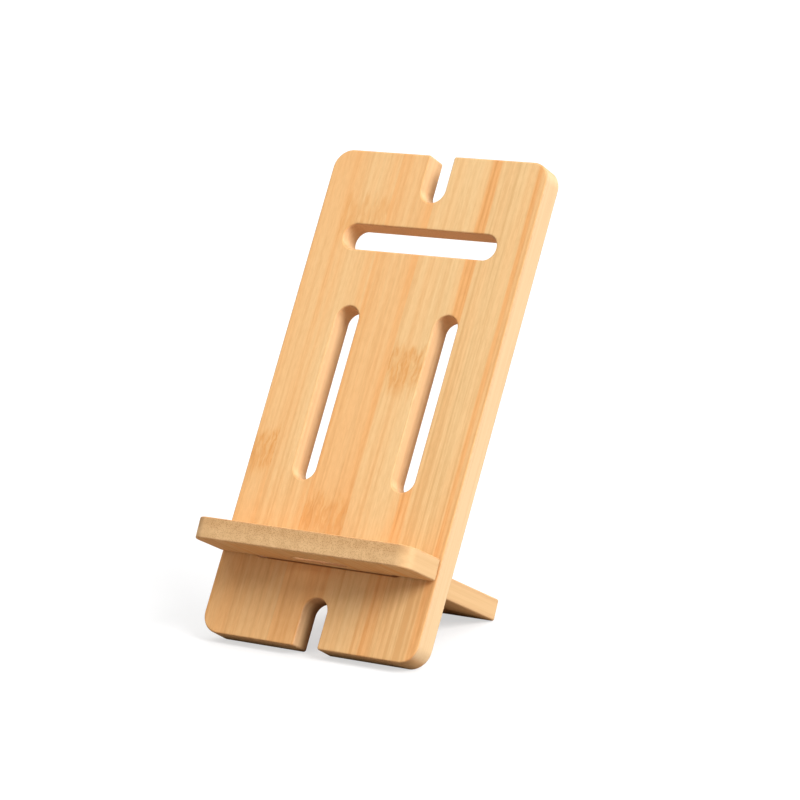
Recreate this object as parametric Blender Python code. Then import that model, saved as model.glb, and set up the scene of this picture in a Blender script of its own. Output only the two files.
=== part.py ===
"""Two-piece slotted bamboo phone stand.

A flat back board leans back on a flat T-shaped piece that is pushed through its lower slot. The wide
head of the T is the shelf in front of the board, and the narrow stem is the leg behind it. Metres,
+Z up, table at z = 0, front towards -Y.

Plate drawings are in each plate's own plane, centred on its thickness. The back board's drawing has
+X to the right and +Y up the board. The T-shaped piece's drawing has +X to the right, +Y towards
the back, and y = 0 where its underside meets the board's front face.
"""

from math import cos, pi, radians, sin, tan

import bmesh
import bpy

MM = 0.001

EDGE_RADIUS = 0.6 * MM  # every edge of both pieces

# Back board
BOARD_WIDTH = 80 * MM
BOARD_HEIGHT = 160 * MM
BOARD_THICKNESS = 7.7 * MM
BOARD_CORNER_RADIUS = 6.3 * MM
LEAN = radians(29)  # from upright

# Cable notches in the middle of the board's top and bottom edges
NOTCH_WIDTH = 8.7 * MM
NOTCH_DEPTH = 15.6 * MM
NOTCH_MOUTH_RADIUS = 0.8 * MM

# Four slots of one length. The lower one, which holds the tongue, is a little narrower.
SLOT_LENGTH = 56.8 * MM
SLOT_WIDTH = 8.2 * MM
LOWER_SLOT_WIDTH = 7.9 * MM
LOWER_SLOT_FROM_BOTTOM = 29.5 * MM  # to the slot's centre line
UPPER_SLOT_FROM_TOP = 28.7 * MM
UPRIGHT_SLOT_OFFSET = 18.4 * MM  # each side of the board's centre line

# Shelf and leg, one T-shaped piece
SHELF_THICKNESS = 6.9 * MM
SHELF_DEPTH = 17.7 * MM
SHELF_CORNER_RADIUS = 4.5 * MM
SHOULDER_RADIUS = 1.2 * MM
SHOULDER_GAP = 0.3 * MM  # between the shoulders and the board's front face
TONGUE_WIDTH = 48 * MM
LEG_CORNER_RADIUS = 1.6 * MM
TONGUE_TILT = radians(3.6)  # how far the loose tongue turns in its slot, back end up

# Cable hole through the shelf, just in front of the board
HOLE_LENGTH = 20 * MM
HOLE_WIDTH = 5 * MM
HOLE_FROM_BOARD = 4.6 * MM  # to the hole's centre line

ARC_STEP = radians(12)
EDGE_STEPS = 1

# The tongue lies midway between the slot's lower front edge and its upper back edge.
TONGUE_HEIGHT_IN_SLOT = SHELF_THICKNESS / cos(TONGUE_TILT) + BOARD_THICKNESS * tan(TONGUE_TILT)
SLOT_CLEARANCE = (LOWER_SLOT_WIDTH - TONGUE_HEIGHT_IN_SLOT) / 2
TONGUE_UP_BOARD = LOWER_SLOT_FROM_BOTTOM - LOWER_SLOT_WIDTH / 2 + SLOT_CLEARANCE

# The leg slopes down by this angle, and reaches the table that the board's lower back edge stands on.
LEG_SLOPE = LEAN - TONGUE_TILT
LEG_REACH = EDGE_RADIUS + (
    TONGUE_UP_BOARD * cos(LEAN)
    + (BOARD_THICKNESS - EDGE_RADIUS) * sin(LEAN)
    + EDGE_RADIUS * (cos(LEG_SLOPE) - cos(LEAN))
) / sin(LEG_SLOPE)

# Lower front edge of the board, with the whole stand's depth centred on y = 0
FOOT_Z = EDGE_RADIUS * (1 - cos(LEAN)) + (BOARD_THICKNESS - EDGE_RADIUS) * sin(LEAN)
DEPTH_BEHIND = (
    (BOARD_HEIGHT - EDGE_RADIUS) * sin(LEAN)
    + (BOARD_THICKNESS - EDGE_RADIUS) * cos(LEAN)
    + EDGE_RADIUS
)
DEPTH_IN_FRONT = (
    (SHELF_DEPTH - EDGE_RADIUS) * cos(LEG_SLOPE)
    - TONGUE_UP_BOARD * sin(LEAN)
    - EDGE_RADIUS * sin(LEG_SLOPE)
    + EDGE_RADIUS
)
FOOT_Y = (DEPTH_IN_FRONT - DEPTH_BEHIND) / 2

BAMBOO_FACE = (0.80, 0.52, 0.25, 1)
BAMBOO_CROSSWISE = (0.70, 0.50, 0.28, 1)


def arc(centre, radius, start, turn):
    """Points on a round stretch from the angle start, over the angle turn, both in radians."""
    steps = max(2, round(abs(turn) / ARC_STEP))
    angles = (start + turn * step / steps for step in range(steps + 1))
    return [(centre[0] + radius * cos(angle), centre[1] + radius * sin(angle)) for angle in angles]


def slot_outline(centre, length, width, upright=False):
    """A slot with half-round ends, grown by the rounding of its edges."""
    reach = (length - width) / 2
    radius = width / 2 + EDGE_RADIUS
    ends = arc((reach, 0), radius, -pi / 2, pi) + arc((-reach, 0), radius, pi / 2, pi)
    if upright:
        ends = [(-y, x) for x, y in ends]
    return [(centre[0] + x, centre[1] + y) for x, y in ends]


def board_outline():
    """A rounded rectangle with a notch in its top and bottom edges, shrunk by the rounding of its edges."""
    half_width, half_height = BOARD_WIDTH / 2, BOARD_HEIGHT / 2
    root = (0, half_height - NOTCH_DEPTH + NOTCH_WIDTH / 2)
    mouth = (NOTCH_WIDTH / 2 + NOTCH_MOUTH_RADIUS, half_height - NOTCH_MOUTH_RADIUS)
    corner = (half_width - BOARD_CORNER_RADIUS, half_height - BOARD_CORNER_RADIUS)
    quarter = (
        arc(root, NOTCH_WIDTH / 2 + EDGE_RADIUS, -pi / 2, pi / 2)
        + arc(mouth, NOTCH_MOUTH_RADIUS - EDGE_RADIUS, pi, -pi / 2)
        + arc(corner, BOARD_CORNER_RADIUS - EDGE_RADIUS, pi / 2, -pi / 2)
    )
    right = quarter + [(x, -y) for x, y in reversed(quarter)]
    left = [(-x, -y) for x, y in quarter[1:]] + [(-x, y) for x, y in reversed(quarter[1:])]
    return right + left


def t_outline():
    """The shelf and its tongue in one outline, shrunk by the rounding of its edges."""
    half_width, half_tongue = BOARD_WIDTH / 2, TONGUE_WIDTH / 2
    front = (half_width - SHELF_CORNER_RADIUS, SHELF_CORNER_RADIUS - SHELF_DEPTH)
    shoulder = (half_width - SHOULDER_RADIUS, -SHOULDER_GAP - SHOULDER_RADIUS)
    leg_end = (half_tongue - LEG_CORNER_RADIUS, LEG_REACH - LEG_CORNER_RADIUS)
    right = (
        arc(front, SHELF_CORNER_RADIUS - EDGE_RADIUS, -pi / 2, pi / 2)
        + arc(shoulder, SHOULDER_RADIUS - EDGE_RADIUS, 0, pi / 2)
        + [(half_tongue - EDGE_RADIUS, -SHOULDER_GAP - EDGE_RADIUS)]
        + arc(leg_end, LEG_CORNER_RADIUS - EDGE_RADIUS, 0, pi / 2)
    )
    return right + [(-x, y) for x, y in reversed(right)]


def plate(name, outlines, thickness, material, collection):
    """A flat piece from its outline and the outlines of its openings, with every edge rounded."""
    curve = bpy.data.curves.new(name, "CURVE")
    curve.dimensions = "2D"
    curve.fill_mode = "BOTH"
    curve.extrude = thickness / 2 - EDGE_RADIUS
    curve.bevel_depth = EDGE_RADIUS
    curve.bevel_resolution = EDGE_STEPS
    for outline in outlines:
        spline = curve.splines.new("POLY")
        spline.points.add(len(outline) - 1)
        for point, (x, y) in zip(spline.points, outline):
            point.co = (x, y, 0, 1)
        spline.use_cyclic_u = True
    drawn = bpy.data.objects.new(name + "_outline", curve)
    collection.objects.link(drawn)
    bpy.context.view_layer.update()
    mesh = bpy.data.meshes.new_from_object(drawn.evaluated_get(bpy.context.evaluated_depsgraph_get()))
    bpy.data.objects.remove(drawn)
    bpy.data.curves.remove(curve)
    weld_and_face_outwards(mesh)
    mesh.name = name
    mesh.materials.clear()
    mesh.materials.append(material)
    piece = bpy.data.objects.new(name, mesh)
    collection.objects.link(piece)
    return piece


def weld_and_face_outwards(mesh):
    """Joins the flat faces of a filled curve to its rounded rim."""
    shape = bmesh.new()
    shape.from_mesh(mesh)
    bmesh.ops.remove_doubles(shape, verts=shape.verts, dist=0.001 * MM)
    bmesh.ops.recalc_face_normals(shape, faces=shape.faces)
    shape.to_mesh(mesh)
    shape.free()


def bamboo(name, colour):
    material = bpy.data.materials.new(name)
    material.use_nodes = True
    shader = material.node_tree.nodes["Principled BSDF"]
    shader.inputs["Base Color"].default_value = colour
    shader.inputs["Roughness"].default_value = 0.55
    return material


def on_board(up, out):
    """World y and z of a point so far up the board from its lower edge and so far out of its front face."""
    return (
        FOOT_Y + up * sin(LEAN) - out * cos(LEAN),
        FOOT_Z + up * cos(LEAN) + out * sin(LEAN),
    )


def back_board(collection):
    half_height = BOARD_HEIGHT / 2
    openings = [
        slot_outline((0, half_height - UPPER_SLOT_FROM_TOP), SLOT_LENGTH, SLOT_WIDTH),
        slot_outline((0, LOWER_SLOT_FROM_BOTTOM - half_height), SLOT_LENGTH, LOWER_SLOT_WIDTH),
    ]
    for side in (-1, 1):
        centre = (side * UPRIGHT_SLOT_OFFSET, 0)
        openings.append(slot_outline(centre, SLOT_LENGTH, SLOT_WIDTH, upright=True))
    material = bamboo("bamboo_board", BAMBOO_FACE)
    outlines = [board_outline()] + openings
    board = plate("back_board", outlines, BOARD_THICKNESS, material, collection)
    board.location = (0, *on_board(half_height, -BOARD_THICKNESS / 2))
    board.rotation_euler.x = pi / 2 - LEAN
    return board


def shelf_and_leg(collection):
    hole = slot_outline((0, -HOLE_FROM_BOARD), HOLE_LENGTH, HOLE_WIDTH)
    material = bamboo("bamboo_shelf", BAMBOO_CROSSWISE)
    shelf = plate("shelf_leg", [t_outline(), hole], SHELF_THICKNESS, material, collection)
    up = TONGUE_UP_BOARD + SHELF_THICKNESS / 2 * cos(TONGUE_TILT)
    out = SHELF_THICKNESS / 2 * sin(TONGUE_TILT)
    shelf.location = (0, *on_board(up, out))
    shelf.rotation_euler.x = -LEG_SLOPE
    return shelf


def main():
    for leftover in list(bpy.data.objects):
        bpy.data.objects.remove(leftover)
    collection = bpy.data.collections.new("phone_stand")
    bpy.context.scene.collection.children.link(collection)
    back_board(collection)
    shelf_and_leg(collection)


main()
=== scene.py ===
"""Looks for the slotted bamboo phone stand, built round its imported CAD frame.

Two finely rounded plates stand for the two faceted CAD nodes. Each plate is drawn in its own plane: +X to
the right, +Y along the bamboo's fibres and +Z out of its show face. The bamboo is worked out in those
coordinates, in millimetres, so that it runs through the whole plate: the same fibres are lines on the
faces and dots on the cut ends.
"""

from math import copysign, cos, pi, radians, sin, sqrt

import bmesh
import bpy
from mathutils import Matrix, Vector


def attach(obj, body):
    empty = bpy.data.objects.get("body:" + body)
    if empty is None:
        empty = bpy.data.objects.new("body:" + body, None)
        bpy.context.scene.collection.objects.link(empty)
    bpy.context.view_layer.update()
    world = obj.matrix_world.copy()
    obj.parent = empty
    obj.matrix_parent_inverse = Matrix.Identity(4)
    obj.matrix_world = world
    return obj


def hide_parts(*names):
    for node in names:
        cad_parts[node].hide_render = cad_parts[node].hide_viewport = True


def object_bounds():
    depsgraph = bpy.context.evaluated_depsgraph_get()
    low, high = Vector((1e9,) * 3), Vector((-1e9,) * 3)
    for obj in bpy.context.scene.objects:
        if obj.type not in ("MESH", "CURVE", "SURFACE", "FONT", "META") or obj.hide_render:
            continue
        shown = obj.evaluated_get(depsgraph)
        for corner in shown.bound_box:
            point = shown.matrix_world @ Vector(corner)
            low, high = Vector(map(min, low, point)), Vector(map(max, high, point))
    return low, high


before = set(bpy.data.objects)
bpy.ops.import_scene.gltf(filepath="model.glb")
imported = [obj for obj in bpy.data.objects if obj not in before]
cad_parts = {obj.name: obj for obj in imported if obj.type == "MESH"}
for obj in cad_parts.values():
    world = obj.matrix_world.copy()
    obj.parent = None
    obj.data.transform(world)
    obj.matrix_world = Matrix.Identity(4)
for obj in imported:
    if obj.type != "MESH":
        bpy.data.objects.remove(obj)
cad_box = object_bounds()

MM = 0.001

# Driving sizes of the outlines. The plates' own width, length and thickness are read from the frame.
EDGE_RADIUS = 0.6 * MM
BOARD_CORNER_RADIUS = 6.3 * MM
NOTCH_WIDTH = 8.7 * MM
NOTCH_DEPTH = 15.6 * MM
NOTCH_MOUTH_RADIUS = 0.8 * MM
SLOT_LENGTH = 56.8 * MM
SLOT_WIDTH = 8.2 * MM
LOWER_SLOT_WIDTH = 7.6 * MM  # closes on the tongue, which the faceted solids keep further apart
LOWER_SLOT_FROM_BOTTOM = 29.5 * MM
UPPER_SLOT_FROM_TOP = 28.7 * MM
UPRIGHT_SLOT_OFFSET = 18.4 * MM
SHELF_DEPTH = 17.7 * MM
SHELF_CORNER_RADIUS = 4.5 * MM
SHOULDER_RADIUS = 1.2 * MM
SHOULDER_GAP = 0.3 * MM
TONGUE_WIDTH = 48 * MM
LEG_CORNER_RADIUS = 1.6 * MM
HOLE_LENGTH = 20 * MM
HOLE_WIDTH = 5 * MM
HOLE_FROM_BOARD = 4.6 * MM

ARC_STEP = radians(4)
EDGE_STEPS = 4
SHARP = radians(35)
WELD_DISTANCE = 0.001 * MM

# Bamboo strips glued side by side, each as: left edge in mm from the plate's left edge, how warm its
# colour is, how far up the plate its knot is in mm, and how wild that knot is.
NO_KNOT = -400
BOARD_STRIPS = (
    (0, 0.52, 60, 1.0),
    (8.7, 0.32, 138, 0.6),
    (25.5, 0.54, 42, 0.8),
    (41.6, 0.27, 91, 1.0),
    (59.2, 0.27, NO_KNOT, 0),
    (76.4, 0.52, NO_KNOT, 0),
)
SHELF_STRIPS = (
    (0, 0.45, NO_KNOT, 0),
    (12.5, 0.60, 66, 0.8),
    (29.6, 0.35, NO_KNOT, 0),
    (46.8, 0.52, 31, 0.9),
    (63.9, 0.42, NO_KNOT, 0),
)
# Streaks that run the whole length, each as: middle in mm from the left edge, half width, strength.
# A wide one warms the bamboo, or cools it where its strength is negative. A narrow one is a dark line.
BOARD_WIDE_STREAKS = (
    (10.5, 2.6, 0.22),
    (23.5, 1.6, 0.25),
    (26.3, 0.9, 0.30),
    (40.4, 1.3, 0.35),
    (53.5, 3.2, -0.35),
    (60.9, 1.9, 1.50),
    (71.0, 3.0, -0.25),
    (77.0, 0.9, 0.50),
)
BOARD_DARK_LINES = (
    (19.0, 0.4, 0.25),
    (35.2, 0.45, 0.25),
    (60.2, 0.45, 0.40),
    (62.0, 0.4, 0.35),
    (64.6, 0.4, 0.35),
    (66.7, 0.3, 0.30),
    (69.2, 0.35, 0.55),
    (71.3, 0.3, 0.35),
)
SHELF_WIDE_STREAKS = (
    (14.0, 0.8, 0.4),
    (31.0, 1.2, 0.3),
    (52.0, 0.6, 0.4),
    (70.5, 0.9, 0.4),
)

# Colours of the bamboo: on the faces, on cuts along the fibres, and on the ends of the fibres
PALE_FACE = (0.757, 0.510, 0.252, 1)
WARM_FACE = (0.757, 0.393, 0.150, 1)
KNOT_FACE = (0.66, 0.302, 0.085, 1)
KNOT_FLAME = (0.80, 0.56, 0.27, 1)
OUTER_SIDE = (0.70, 0.500, 0.290, 1)
INNER_SIDE = (0.755, 0.49, 0.26, 1)
LEG_SIDE = (0.668, 0.442, 0.228, 1)
PALE_END = (0.655, 0.42, 0.212, 1)
WARM_END = (0.59, 0.37, 0.18, 1)
BUNDLE_END = (0.35, 0.18, 0.05, 1)
INNER_END = (0.67, 0.385, 0.19, 1)
# What these colours are multiplied by: in a dark fibre and in painted shade lower on the board, in painted
# shade over the rounded edges and at the mouths of openings, and in painted shade deep in the notches
FIBRE_AND_PAINTED_SHADE = (0.84, 0.77, 0.68, 1)
PAINTED_EDGE_SHADE = (0.85, 0.74, 0.69, 1)
PAINTED_NOTCH_SHADE = (0.45, 0.36, 0.28, 1)

# Fibres, each kind as: how often it changes per mm across the fibres and along them, detail, roughness
BANDS = (0.22, 0.010, 3.0, 0.55)
THREADS = (0.68, 0.010, 2.0, 0.55)
FINE_THREADS = (1.9, 0.02, 2.0, 0.6)
FLECKS = (1.6, 0.30, 3.0, 0.6)
KNOT_GRAIN = (0.95, 0.13, 3.0, 0.6)
SIDE_GRAIN = (0.9, 0.02, 3.0, 0.6)
END_TONES = (0.5, 0.03, 3.0, 0.5)
BUNDLES = (2.3, 0.012)  # how many stiff bundles of fibres there are per mm

# Slow changes over a plate, each as: how often it changes per mm across it and along it
KNOT_OUTLINE = (0.55, 0.1)
KNOT_SWERVE = (0.35, 0.22)
STREAK_FADING = (0.3, 0.03)
# The next two make the painted shade over the rounded edges patchy
EDGE_SHADE_PATCHES = (0.4, 0.4)
EDGE_SHADE_PATCH_DETAIL = (4.0, 0.7)  # its detail and roughness

# Smooth steps, each as: where it starts and ends, and its values there if they are not 0 and 1.
# Over a noise, from 0 to 1:
STREAK_STRENGTH = (0.3, 0.6, 0.45, 1.0)
KNOT_DASHES = (0.42, 0.62, 0.38, 0.76)
KNOT_FLAMES = (0.36, 0.46, 0.28, 0.0)
DARK_THREADS = (0.42, 0.70, 0.0, 0.62)
DARK_FINE_THREADS = (0.46, 0.74, 0.0, 0.38)
SIDE_LINES = (0.4, 0.7, 0.0, 0.35)
END_TONE = (0.3, 0.7)
# Strength of the painted shade over the rounded edges:
EDGE_SHADE_STRENGTH = (0.35, 0.65, 0.45, 0.90)
# Over the distance from a bundle's middle, in cells:
BUNDLE_DOT = (0.20, 0.52, 1.0, 0.0)
# Over the warmth that the tones add up to, and over the wildness of a strip's knot:
FACE_WARMTH = (-0.1, 1.1)
STRAIGHTNESS = (0.0, 0.5, 0.92, 0.6)
# Over y, in mm, which is 0 in the middle of the board and where the T-shaped piece meets it:
STREAKS_UPWARDS = (-65, 10, 0.3, 1.0)
# warmer towards the bottom: painted warm light thrown onto the board by the shelf
BOUNCE_WARMTH_DOWNWARDS = (-25, -75, 0.0, 0.2)
CONTRAST_DOWNWARDS = (75, -75, 0.75, 1.3)
# darker fibres everywhere, and painted shade from the middle of the board down past the shelf
FIBRES_AND_SHADE_DOWNWARDS = (0, -45, 0.08, 0.30)
# painted shade in the notches, stronger in the bottom one under the shelf
NOTCH_SHADE_UPWARDS = (-10, 10, 1.0, 0.3)
# Over z, in mm, from the middle of the thickness towards the show face:
SPECKLE_OUTWARDS = (-0.5, 1.5, 0.48, 0.56)
SKIN_OUTWARDS = (-1.0, 2.0, 0.0, 0.55)
# painted shade in the notches, deeper towards the back
NOTCH_SHADE_INWARDS = (1.9, -3.0)
# Over the distance from the middle of the thickness towards either face, in mm:
MOUTH_OUTWARDS = (1.2, 3.4, 0.0, 0.45)
# Over the height above a knot's middle, in mm, where it ends above and where its tongues run out below:
KNOT_ABOVE = (3.0, 7.5, 1.0, 0.0)
KNOT_BELOW = (-12.0, -1.5)
# Over the distance from the plate's sides or ends, in mm. INSIDE tells its rim from its openings:
INSIDE = (1.2, 2.5)
SPECKLE_INSIDE = (2.0, 8.0, 0.15, 1.0)
NOTCH_ROOT = (17, 18.5, 1.0, 0.0)
# Over the distance from the plate's middle line, in mm:
NOTCH_SIDE = (5.5, 7.0, 1.0, 0.0)
# Over how far a surface faces one way, u, from 0 to 1:
CUT_ALONG = (0.35, 0.9)
CUT_ACROSS = (0.45, 0.92)
WALL = (0.3, 0.8, 1.0, 0.0)
# Over u * (1 - u) for that u, which is 0 on faces and walls, and up to 0.25 on a rounded edge:
ROUND_EDGE = (0.05, 0.22)

KNOT_RAGGEDNESS = 16.0  # mm by which the upper and lower ends of a knot wander
KNOT_PUSH = 3.2  # mm by which a knot pushes fibres aside
STREAK_CORE = 0.5  # of a streak's half width, where it starts to fade
STREAK_RIM = 1.3  # of a streak's half width, where it ends
BAND_WARMTH = 0.9
THREAD_WARMTH = 0.36
FLECK_SHADE = 1.2
SAWN_SPECKLE = 0.22
STRIP_LAYERS = 0.37  # sets the fibres of one strip off from those of the next
PLATE_LAYERS = 17.0  # sets the fibres of one plate off from those of the other
BOARD_SEED = 1.0
SHELF_SEED = 5.0
SWERVE_SEED = 3.0
FADING_SEED = 9.0
# how much painted shade each plate's notches get
BOARD_NOTCH_SHADING = 1.0
SHELF_NOTCH_SHADING = 0.0
ROUGHNESS = 0.50
THREAD_ROUGHNESS = 0.18
ROUNDED_EDGE_ROUGHNESS = -0.1
END_ROUGHNESS = 0.12
BUNDLE_RELIEF = -0.5
RELIEF_HEIGHT = 0.06 * MM
RELIEF_STRENGTH = 0.25
GLOSS = 0.14

# A floor that looks nearly white, and throws back the duller, warmer light of a table top
FLOOR_SIZE = 12.0
FLOOR_COLOUR = (0.34, 0.34, 0.34, 1)
FLOOR_GLOW = 0.60
FLOOR_ROUGHNESS = 0.8
TABLE_BOUNCE = (0.32, 0.27, 0.23, 1)
WHITE = (1, 1, 1, 1)

# Large soft lamps far away, each as: name, azimuth and elevation of where it stands in degrees, where
# azimuth 0 is straight in front and 90 is on the right, how wide it looks in degrees, and strength.
SOFT_LAMPS = (
    ("key_lamp", 80, 36, 33, 4.2),
    ("front_lamp", -20, 27, 70, 0.85),
    ("top_lamp", 0, 80, 70, 1.35),
    ("back_lamp", 178, 32, 60, 1.7),
    ("left_lamp", -105, 25, 60, 0.5),
)
WORLD_STRENGTH = 0.04

# The camera looks at the stand from its front right, a little above it. Its aim is off the middle of the box.
CAMERA_AIM = Vector((0.0054, 0.0041, 0.0007))
CAMERA_AZIMUTH = radians(35.01)
CAMERA_ELEVATION = radians(10.92)
CAMERA_ROLL = radians(-0.944)
CAMERA_DISTANCE = 1.1288
CAMERA_LENS = 166.08
CAMERA_SENSOR = 36


def arc(centre, radius, start, turn):
    """Points on a round stretch from the angle start, over the angle turn, both in radians."""
    steps = max(2, round(abs(turn) / ARC_STEP))
    angles = (start + turn * step / steps for step in range(steps + 1))
    return [(centre[0] + radius * cos(angle), centre[1] + radius * sin(angle)) for angle in angles]


def slot_outline(centre, length, width, upright=False):
    """A slot with half-round ends, grown by the rounding of its edges."""
    reach = (length - width) / 2
    radius = width / 2 + EDGE_RADIUS
    ends = arc((reach, 0), radius, -pi / 2, pi) + arc((-reach, 0), radius, pi / 2, pi)
    if upright:
        ends = [(-y, x) for x, y in ends]
    return [(centre[0] + x, centre[1] + y) for x, y in ends]


def board_outline(half_width, half_height):
    """A rounded rectangle with a notch in its top and bottom edges, shrunk by the rounding of its edges."""
    root = (0, half_height - NOTCH_DEPTH + NOTCH_WIDTH / 2)
    mouth = (NOTCH_WIDTH / 2 + NOTCH_MOUTH_RADIUS, half_height - NOTCH_MOUTH_RADIUS)
    corner = (half_width - BOARD_CORNER_RADIUS, half_height - BOARD_CORNER_RADIUS)
    quarter = (
        arc(root, NOTCH_WIDTH / 2 + EDGE_RADIUS, -pi / 2, pi / 2)
        + arc(mouth, NOTCH_MOUTH_RADIUS - EDGE_RADIUS, pi, -pi / 2)
        + arc(corner, BOARD_CORNER_RADIUS - EDGE_RADIUS, pi / 2, -pi / 2)
    )
    right = quarter + [(x, -y) for x, y in reversed(quarter)]
    left = [(-x, -y) for x, y in quarter[1:]] + [(-x, y) for x, y in reversed(quarter[1:])]
    return right + left


def t_outline(half_width, leg_reach):
    """The shelf and its tongue in one outline, shrunk by the rounding of its edges."""
    half_tongue = TONGUE_WIDTH / 2
    front = (half_width - SHELF_CORNER_RADIUS, SHELF_CORNER_RADIUS - SHELF_DEPTH)
    shoulder = (half_width - SHOULDER_RADIUS, -SHOULDER_GAP - SHOULDER_RADIUS)
    leg_end = (half_tongue - LEG_CORNER_RADIUS, leg_reach - LEG_CORNER_RADIUS)
    right = (
        arc(front, SHELF_CORNER_RADIUS - EDGE_RADIUS, -pi / 2, pi / 2)
        + arc(shoulder, SHOULDER_RADIUS - EDGE_RADIUS, 0, pi / 2)
        + [(half_tongue - EDGE_RADIUS, -SHOULDER_GAP - EDGE_RADIUS)]
        + arc(leg_end, LEG_CORNER_RADIUS - EDGE_RADIUS, 0, pi / 2)
    )
    return right + [(-x, y) for x, y in reversed(right)]


def plate_place(node, show_side):
    """The turn that lays a CAD plate's show face in its own XY plane, and its box once it is so turned."""
    mesh = node.data
    face = max(mesh.polygons, key=lambda polygon: polygon.area)
    out = face.normal if face.normal.dot(show_side) > 0 else -face.normal
    across = Vector((1, 0, 0))
    turn = Matrix((across, out.cross(across), out)).transposed()
    points = [turn.inverted() @ vertex.co for vertex in mesh.vertices]
    low = Vector(min(point[axis] for point in points) for axis in range(3))
    high = Vector(max(point[axis] for point in points) for axis in range(3))
    return turn, low, high


def plate(name, outlines, thickness):
    """A flat piece from its outline and the outlines of its openings, with every edge rounded."""
    curve = bpy.data.curves.new(name, "CURVE")
    curve.dimensions = "2D"
    curve.fill_mode = "BOTH"
    curve.extrude = thickness / 2 - EDGE_RADIUS
    curve.bevel_depth = EDGE_RADIUS
    curve.bevel_resolution = EDGE_STEPS
    for outline in outlines:
        spline = curve.splines.new("POLY")
        spline.points.add(len(outline) - 1)
        for point, (x, y) in zip(spline.points, outline):
            point.co = (x, y, 0, 1)
        spline.use_cyclic_u = True
    drawn = bpy.data.objects.new(name + "_outline", curve)
    bpy.context.scene.collection.objects.link(drawn)
    bpy.context.view_layer.update()
    mesh = bpy.data.meshes.new_from_object(drawn.evaluated_get(bpy.context.evaluated_depsgraph_get()))
    bpy.data.objects.remove(drawn)
    bpy.data.curves.remove(curve)
    weld_and_face_outwards(mesh)
    shade_exactly(mesh, thickness)
    mesh.name = name
    piece = bpy.data.objects.new(name, mesh)
    bpy.context.scene.collection.objects.link(piece)
    return piece


def weld_and_face_outwards(mesh):
    """Joins the flat faces of a filled curve to its rounded rim."""
    shape = bmesh.new()
    shape.from_mesh(mesh)
    bmesh.ops.remove_doubles(shape, verts=shape.verts, dist=WELD_DISTANCE)
    bmesh.ops.recalc_face_normals(shape, faces=shape.faces)
    shape.to_mesh(mesh)
    shape.free()


def shade_exactly(mesh, thickness):
    """Gives every corner the normal of the true shape: flat on the faces, round over the edges."""
    mesh.shade_smooth()
    mesh.set_sharp_from_angle(angle=SHARP)
    straight = thickness / 2 - EDGE_RADIUS
    normals = []
    for loop, corner in zip(mesh.loops, mesh.corner_normals):
        height = mesh.vertices[loop.vertex_index].co.z
        rise = min(1, max(0, (abs(height) - straight) / EDGE_RADIUS))
        sideways = corner.vector.xy.normalized() * sqrt(1 - rise * rise)
        normals.append((sideways.x, sideways.y, copysign(rise, height)))
    mesh.normals_split_custom_set(normals)


class Shader:
    """A material's node tree, with short calls that add a node and return its output."""

    def __init__(self, name):
        self.material = bpy.data.materials.new(name)
        self.material.use_nodes = True
        self.tree = self.material.node_tree
        self.surface = self.tree.nodes["Principled BSDF"].inputs

    def add(self, kind, sockets, **settings):
        """Adds a node, with values or other nodes' outputs in its named or numbered sockets."""
        node = self.tree.nodes.new("ShaderNode" + kind)
        for setting, value in settings.items():
            setattr(node, setting, value)
        for socket, value in sockets.items():
            self.feed(node.inputs[socket], value)
        return node.outputs

    def feed(self, socket, value):
        if isinstance(value, bpy.types.NodeSocket):
            self.tree.links.new(value, socket)
        else:
            socket.default_value = value

    def maths(self, operation, *values):
        return self.add("Math", dict(enumerate(values)), operation=operation)[0]

    def total(self, first, *others):
        for other in others:
            first = self.maths("ADD", first, other)
        return first

    def product(self, first, *others):
        for other in others:
            first = self.maths("MULTIPLY", first, other)
        return first

    def ramp(self, value, low, high, to_low=0.0, to_high=1.0):
        """A smooth step of value, from to_low at low to to_high at high."""
        sockets = {"Value": value, "From Min": low, "From Max": high, "To Min": to_low, "To Max": to_high}
        return self.add("MapRange", sockets, interpolation_type="SMOOTHSTEP")[0]

    def noise(self, vector, detail=2.0, roughness=0.5):
        sockets = {"Vector": vector, "Scale": 1.0, "Detail": detail, "Roughness": roughness}
        return self.add("TexNoise", sockets)[0]

    def about_zero(self, noise, size):
        """The noise, made to vary over this size with its middle at zero."""
        return self.maths("MULTIPLY_ADD", noise, size, -size / 2)

    def mix(self, factor, first, second, blend="MIX"):
        sockets = {0: factor, 6: first, 7: second}
        return self.add("Mix", sockets, data_type="RGBA", blend_type=blend)[2]

    def darken(self, amount, colour, shade):
        return self.mix(amount, colour, shade, "MULTIPLY")


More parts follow.
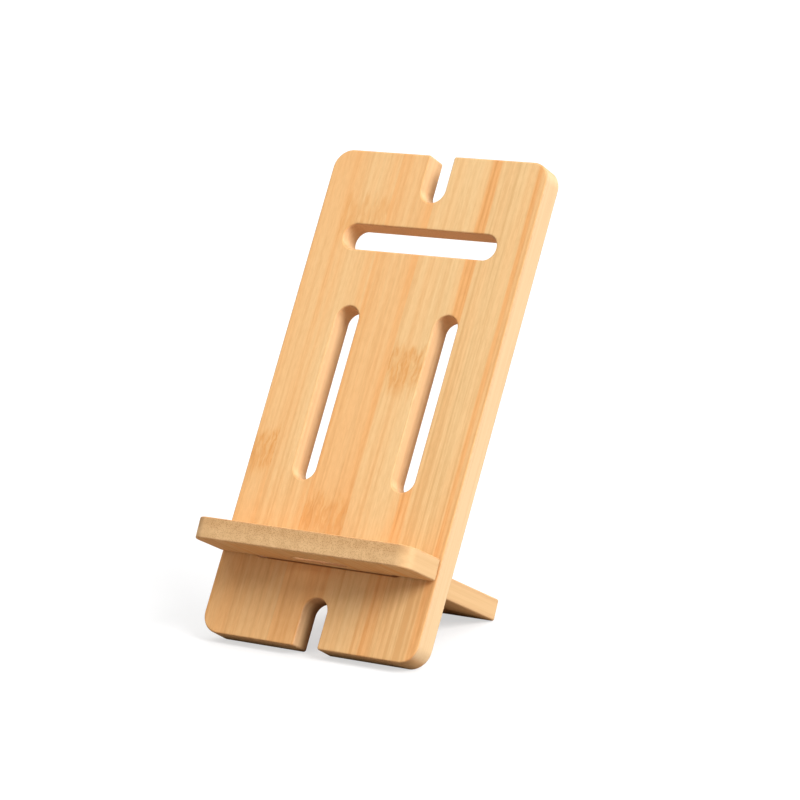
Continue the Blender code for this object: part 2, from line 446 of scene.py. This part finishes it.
class Bamboo(Shader):
    """Edge-glued bamboo with its fibres along Y, worked out in mm in the plate's own coordinates."""

    def __init__(self, name, width, length, lowest_y, seed):
        super().__init__(name)
        self.width = width
        self.seed = seed
        coordinates = self.add("TexCoord", {})
        in_mm = self.add("VectorMath", {0: coordinates["Object"], 3: 1 / MM}, operation="SCALE")[0]
        self.x, self.y, self.z = self.add("SeparateXYZ", {0: in_mm})
        facing = self.add("SeparateXYZ", {0: coordinates["Normal"]})
        self.sideways, self.endways, self.upwards = (self.maths("ABSOLUTE", part) for part in facing)
        self.from_middle = self.maths("ABSOLUTE", self.x)
        self.from_side = self.maths("SUBTRACT", width / 2, self.from_middle)
        self.from_start = self.maths("SUBTRACT", self.y, lowest_y)
        from_other_end = self.maths("SUBTRACT", length, self.from_start)
        self.from_end = self.maths("MINIMUM", self.from_start, from_other_end)

    def by_strip(self, strips, column):
        """One of the numbers that each strip has, as a value that jumps from strip to strip."""
        value = strips[0][column]
        for strip, before in zip(strips[1:], strips):
            beyond = self.maths("GREATER_THAN", self.x, strip[0] - self.width / 2)
            value = self.maths("MULTIPLY_ADD", beyond, strip[column] - before[column], value)
        return value

    def over_plate(self, across, along, depth):
        x, y = self.product(self.x, across), self.product(self.y, along)
        return self.add("CombineXYZ", {0: x, 1: y, 2: depth})[0]

    def over_fibres(self, across, along):
        x, y = self.product(self.fibre_x, across), self.product(self.y, along)
        z = self.product(self.layer, across)
        return self.add("CombineXYZ", {0: x, 1: y, 2: z})[0]

    def fibres(self, across, along, detail, roughness):
        return self.noise(self.over_fibres(across, along), detail, roughness)

    def lay_strips(self, strips):
        """Glues the strips side by side, each with a knot: a band where its fibres swerve."""
        self.tone, knot_height, self.wildness = (self.by_strip(strips, column) for column in (1, 2, 3))
        from_knot = self.maths("SUBTRACT", self.from_start, knot_height)
        wander = self.noise(self.over_plate(*KNOT_OUTLINE, self.seed))
        ragged = self.total(from_knot, self.about_zero(wander, KNOT_RAGGEDNESS))
        above = self.ramp(ragged, *KNOT_ABOVE)
        below = self.ramp(ragged, *KNOT_BELOW)
        self.knot = self.product(above, below, self.wildness)
        swerve = self.noise(self.over_plate(*KNOT_SWERVE, self.seed + SWERVE_SEED))
        self.fibre_x = self.total(self.x, self.product(self.about_zero(swerve, KNOT_PUSH), self.knot))
        strip_layer = self.product(knot_height, STRIP_LAYERS)
        self.layer = self.total(strip_layer, self.z, self.seed * PLATE_LAYERS)
        self.threads = self.fibres(*THREADS)
        cells = self.add("TexVoronoi", {"Vector": self.over_fibres(*BUNDLES), "Scale": 1.0})
        self.bundles = self.ramp(cells["Distance"], *BUNDLE_DOT)

    def streaks(self, streaks):
        """Streaks that run the whole length, now stronger and now weaker."""
        value = 0.0
        for middle, half_width, strength in streaks:
            away = self.maths("ABSOLUTE", self.maths("SUBTRACT", self.fibre_x, middle - self.width / 2))
            here = self.ramp(away, half_width * STREAK_CORE, half_width * STREAK_RIM, strength, 0.0)
            value = self.total(here, value)
        fading = self.noise(self.over_plate(*STREAK_FADING, self.seed + FADING_SEED))
        return self.product(value, self.ramp(fading, *STREAK_STRENGTH))

    def face(self, wide_streaks, dark_lines):
        """The faces: warmer and paler bands, with painted warm bounce light low on the board, then knots,
        then the darker fibres between pale ones, with painted shade from the middle of the board down past
        the shelf.
        """
        upper_streaks = self.product(self.streaks(wide_streaks), self.ramp(self.y, *STREAKS_UPWARDS))
        warmth = self.total(
            self.tone,
            upper_streaks,
            self.about_zero(self.fibres(*BANDS), BAND_WARMTH),
            self.about_zero(self.threads, THREAD_WARMTH),
            # painted warm bounce light from the shelf, low on the board
            self.ramp(self.y, *BOUNCE_WARMTH_DOWNWARDS),
        )
        face = self.mix(self.ramp(warmth, *FACE_WARMTH), PALE_FACE, WARM_FACE)
        grain = self.fibres(*KNOT_GRAIN)
        dashes = self.product(self.ramp(grain, *KNOT_DASHES), self.knot)
        flames = self.product(self.ramp(grain, *KNOT_FLAMES), self.knot)
        face = self.mix(flames, self.mix(dashes, face, KNOT_FACE), KNOT_FLAME)

        threads = self.ramp(self.threads, *DARK_THREADS)
        fine_threads = self.ramp(self.fibres(*FINE_THREADS), *DARK_FINE_THREADS)
        straightness = self.ramp(self.wildness, *STRAIGHTNESS)
        contrast = self.ramp(self.y, *CONTRAST_DOWNWARDS)
        dark = self.total(
            self.product(self.total(threads, fine_threads), straightness, contrast),
            self.about_zero(self.fibres(*FLECKS), FLECK_SHADE),
            # painted shade towards the bottom, above and below the shelf
            self.ramp(self.y, *FIBRES_AND_SHADE_DOWNWARDS),
        )
        if dark_lines:
            dark = self.total(dark, self.streaks(dark_lines))
        return self.darken(dark, face, FIBRE_AND_PAINTED_SHADE)

    def side(self, outer_colour, inner_colour):
        """Cuts along the fibres: the plate's own sides, and the walls of its openings."""
        side = self.mix(self.ramp(self.from_side, *INSIDE), outer_colour, inner_colour)
        return self.darken(self.ramp(self.fibres(*SIDE_GRAIN), *SIDE_LINES), side, FIBRE_AND_PAINTED_SHADE)

    def end(self):
        """Cuts across the fibres, where the bundles show as dots."""
        tones = self.ramp(self.fibres(*END_TONES), *END_TONE)
        speckle = self.product(
            self.bundles,
            self.ramp(self.z, *SPECKLE_OUTWARDS),
            self.ramp(self.from_side, *SPECKLE_INSIDE),
        )
        outer = self.mix(speckle, self.mix(tones, PALE_END, WARM_END), BUNDLE_END)
        outer = self.darken(self.ramp(self.z, *SKIN_OUTWARDS), outer, FIBRE_AND_PAINTED_SHADE)
        inner = self.mix(self.product(self.bundles, SAWN_SPECKLE), INNER_END, BUNDLE_END)
        return self.mix(self.ramp(self.from_end, *INSIDE), outer, inner)

    def edge_shade(self):
        """How much painted shade darkens the rounded edges, unevenly in patches."""
        curved = self.product(self.upwards, self.maths("SUBTRACT", 1.0, self.upwards))
        patches = self.noise(self.over_plate(*EDGE_SHADE_PATCHES, self.z), *EDGE_SHADE_PATCH_DETAIL)
        return self.product(self.ramp(curved, *ROUND_EDGE), self.ramp(patches, *EDGE_SHADE_STRENGTH))

    def mouth_shade(self):
        """How near a wall of an opening is to one of its mouths, where painted shade darkens it."""
        near_face = self.ramp(self.maths("ABSOLUTE", self.z), *MOUTH_OUTWARDS)
        return self.product(near_face, self.sideways, self.ramp(self.from_side, *INSIDE))

    def notch_shade(self, amount):
        """How much painted shade darkens the notches, most towards the back of the board and at its bottom,
        below the shelf.
        """
        return self.product(
            amount,
            self.ramp(self.y, *NOTCH_SHADE_UPWARDS),
            self.ramp(self.from_middle, *NOTCH_SIDE),
            self.ramp(self.from_end, *NOTCH_ROOT),
            self.ramp(self.upwards, *WALL),
            self.ramp(self.z, *NOTCH_SHADE_INWARDS),
        )

    def finish(self, face, side, end, notch_shading):
        """Puts each cut on the surfaces that face its way, paints shade over its rounded edges, at the mouths
        of its openings and in its notches, and returns the material.
        """
        colour = self.mix(self.ramp(self.sideways, *CUT_ALONG), face, side)
        colour = self.mix(self.ramp(self.endways, *CUT_ACROSS), colour, end)
        # painted shade that dulls the lit rounded edges and the walls at the mouths of the openings
        edge_shade = self.edge_shade()
        colour = self.darken(self.maths("MAXIMUM", edge_shade, self.mouth_shade()), colour, PAINTED_EDGE_SHADE)
        # painted shade deep in the notches
        colour = self.darken(self.notch_shade(notch_shading), colour, PAINTED_NOTCH_SHADE)
        roughness = self.total(
            self.maths("MULTIPLY_ADD", self.threads, THREAD_ROUGHNESS, ROUGHNESS),
            self.product(edge_shade, ROUNDED_EDGE_ROUGHNESS),
            self.product(self.endways, END_ROUGHNESS),
        )
        relief = self.maths("MULTIPLY_ADD", self.bundles, BUNDLE_RELIEF, self.threads)
        bump = {"Strength": RELIEF_STRENGTH, "Distance": RELIEF_HEIGHT, "Height": relief}
        self.feed(self.surface["Base Color"], colour)
        self.feed(self.surface["Roughness"], roughness)
        self.feed(self.surface["Normal"], self.add("Bump", bump)[0])
        self.surface["Specular IOR Level"].default_value = GLOSS
        return self.material


def finish_piece(piece, material, node, body):
    """Gives a piece its bamboo, and makes it stand for its CAD node on that node's body."""
    piece.data.materials.clear()
    piece.data.materials.append(material)
    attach(piece, body)
    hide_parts(node)


def back_board():
    turn, low, high = plate_place(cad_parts["back_board"], Vector((0, -1, 0)))
    width, height, thickness = high - low
    outlines = [
        board_outline(width / 2, height / 2),
        slot_outline((0, height / 2 - UPPER_SLOT_FROM_TOP), SLOT_LENGTH, SLOT_WIDTH),
        slot_outline((0, LOWER_SLOT_FROM_BOTTOM - height / 2), SLOT_LENGTH, LOWER_SLOT_WIDTH),
    ]
    for side in (-1, 1):
        outlines.append(slot_outline((side * UPRIGHT_SLOT_OFFSET, 0), SLOT_LENGTH, SLOT_WIDTH, upright=True))
    board = plate("bamboo_board", outlines, thickness)
    board.matrix_world = Matrix.Translation(turn @ ((low + high) / 2)) @ turn.to_4x4()

    bamboo = Bamboo("bamboo_board", width / MM, height / MM, -height / 2 / MM, BOARD_SEED)
    bamboo.lay_strips(BOARD_STRIPS)
    face = bamboo.face(BOARD_WIDE_STREAKS, BOARD_DARK_LINES)
    material = bamboo.finish(face, bamboo.side(OUTER_SIDE, INNER_SIDE), bamboo.end(), BOARD_NOTCH_SHADING)
    finish_piece(board, material, "back_board", "board")


def shelf_and_leg():
    turn, low, high = plate_place(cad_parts["shelf_leg"], Vector((0, 0, 1)))
    width, depth, thickness = high - low
    hole = slot_outline((0, -HOLE_FROM_BOARD), HOLE_LENGTH, HOLE_WIDTH)
    outlines = [t_outline(width / 2, depth - SHELF_DEPTH), hole]
    shelf = plate("bamboo_shelf_and_leg", outlines, thickness)
    origin = Vector(((low.x + high.x) / 2, low.y + SHELF_DEPTH, (low.z + high.z) / 2))
    shelf.matrix_world = Matrix.Translation(turn @ origin) @ turn.to_4x4()

    bamboo = Bamboo("bamboo_shelf", width / MM, depth / MM, -SHELF_DEPTH / MM, SHELF_SEED)
    bamboo.lay_strips(SHELF_STRIPS)
    face = bamboo.face(SHELF_WIDE_STREAKS, ())
    material = bamboo.finish(face, bamboo.side(LEG_SIDE, LEG_SIDE), bamboo.end(), SHELF_NOTCH_SHADING)
    finish_piece(shelf, material, "shelf_leg", "shelf")


def floor():
    """A wide plain floor. To the camera it is nearly white, and to the stand it is duller and warmer."""
    bpy.ops.mesh.primitive_plane_add(size=FLOOR_SIZE)
    plane = bpy.context.object
    plane.name = "studio_floor"
    shader = Shader("studio_floor")
    seen = shader.add("LightPath", {})["Is Camera Ray"]
    shader.feed(shader.surface["Base Color"], shader.mix(seen, TABLE_BOUNCE, FLOOR_COLOUR))
    shader.feed(shader.surface["Emission Color"], WHITE)
    shader.feed(shader.surface["Emission Strength"], shader.product(seen, FLOOR_GLOW))
    shader.surface["Roughness"].default_value = FLOOR_ROUGHNESS
    shader.surface["Specular IOR Level"].default_value = 0
    plane.data.materials.append(shader.material)


def lights():
    world = bpy.data.worlds.new("studio")
    world.use_nodes = True
    background = world.node_tree.nodes["Background"].inputs
    background["Color"].default_value = WHITE
    background["Strength"].default_value = WORLD_STRENGTH
    bpy.context.scene.world = world
    for name, azimuth, elevation, width, strength in SOFT_LAMPS:
        light = bpy.data.lights.new(name, "SUN")
        light.angle = radians(width)
        light.energy = strength
        lamp = bpy.data.objects.new(name, light)
        bpy.context.scene.collection.objects.link(lamp)
        away = direction(radians(azimuth), radians(elevation))
        lamp.rotation_euler = away.to_track_quat("Z", "Y").to_euler()


def direction(azimuth, elevation):
    """Unit vector towards azimuth, 0 in front and a quarter turn on the right, and elevation."""
    level = cos(elevation)
    return Vector((sin(azimuth) * level, -cos(azimuth) * level, sin(elevation)))


def camera(middle):
    data = bpy.data.cameras.new("camera")
    data.lens = CAMERA_LENS
    data.sensor_width = CAMERA_SENSOR
    viewer = bpy.data.objects.new("camera", data)
    bpy.context.scene.collection.objects.link(viewer)
    away = direction(CAMERA_AZIMUTH, CAMERA_ELEVATION)
    place = Matrix.Translation(middle + CAMERA_AIM + away * CAMERA_DISTANCE)
    turn = away.to_track_quat("Z", "Y").to_matrix().to_4x4() @ Matrix.Rotation(CAMERA_ROLL, 4, "Z")
    viewer.matrix_world = place @ turn
    bpy.context.scene.camera = viewer


back_board()
shelf_and_leg()
floor()
lights()
camera((cad_box[0] + cad_box[1]) / 2)
bpy.context.scene.view_settings.view_transform = "Standard"
